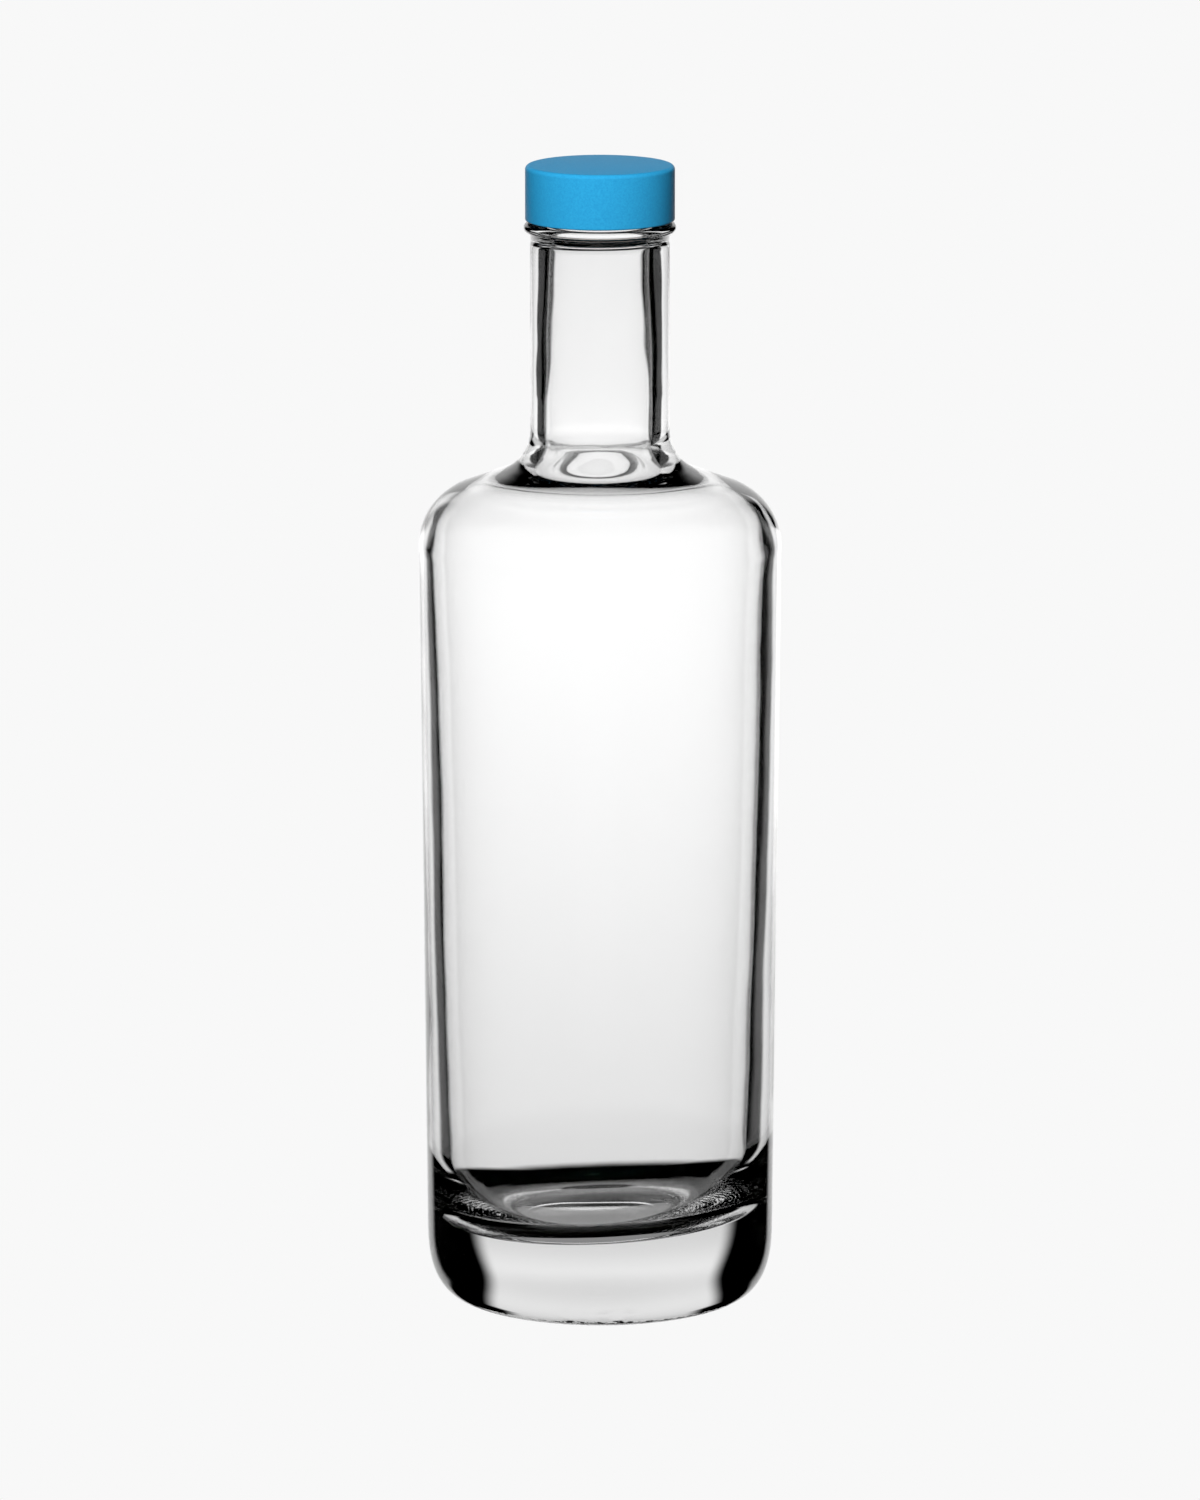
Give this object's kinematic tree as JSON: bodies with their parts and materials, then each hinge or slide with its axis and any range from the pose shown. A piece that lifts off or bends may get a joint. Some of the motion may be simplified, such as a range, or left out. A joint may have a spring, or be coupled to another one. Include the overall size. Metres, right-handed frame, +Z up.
{
  "type": "glass bottle",
  "caption": "Clear glass bottle with a thick rounded base, a straight side, a short neck and a matte blue screw cap lined with foam.",
  "frame": {"origin": "on the bottle's axis, in the plane of the ring that it stands on", "axes": "+Z up along the bottle's axis, towards the cap; X and Y are alike"},
  "size_m": [0.0738, 0.0738, 0.2356],
  "materials": {
    "clear_glass": "polished",
    "blue_cap": "matte",
    "liner_foam": "matte"
  },
  "bodies": {
    "bottle": {"bottle": "clear_glass"},
    "liner": {"liner": "liner_foam"},
    "cap": {"cap": "blue_cap"}
  },
  "joints": [
    {"name": "liner_rise", "type": "slide", "parent": "bottle", "child": "liner", "axis": [0, 0, 1], "range_m": [0, 0.01271]},
    {"name": "cap_turn", "type": "hinge", "parent": "liner", "child": "cap", "pos_m": [0, 0, 0.2277], "axis": [0, 0, 1], "range_deg": [0, 1080]}
  ],
  "couplings": [
    {"joint": "liner_rise", "follows": "cap_turn", "m_per_rad": 0.00067376}
  ]
}
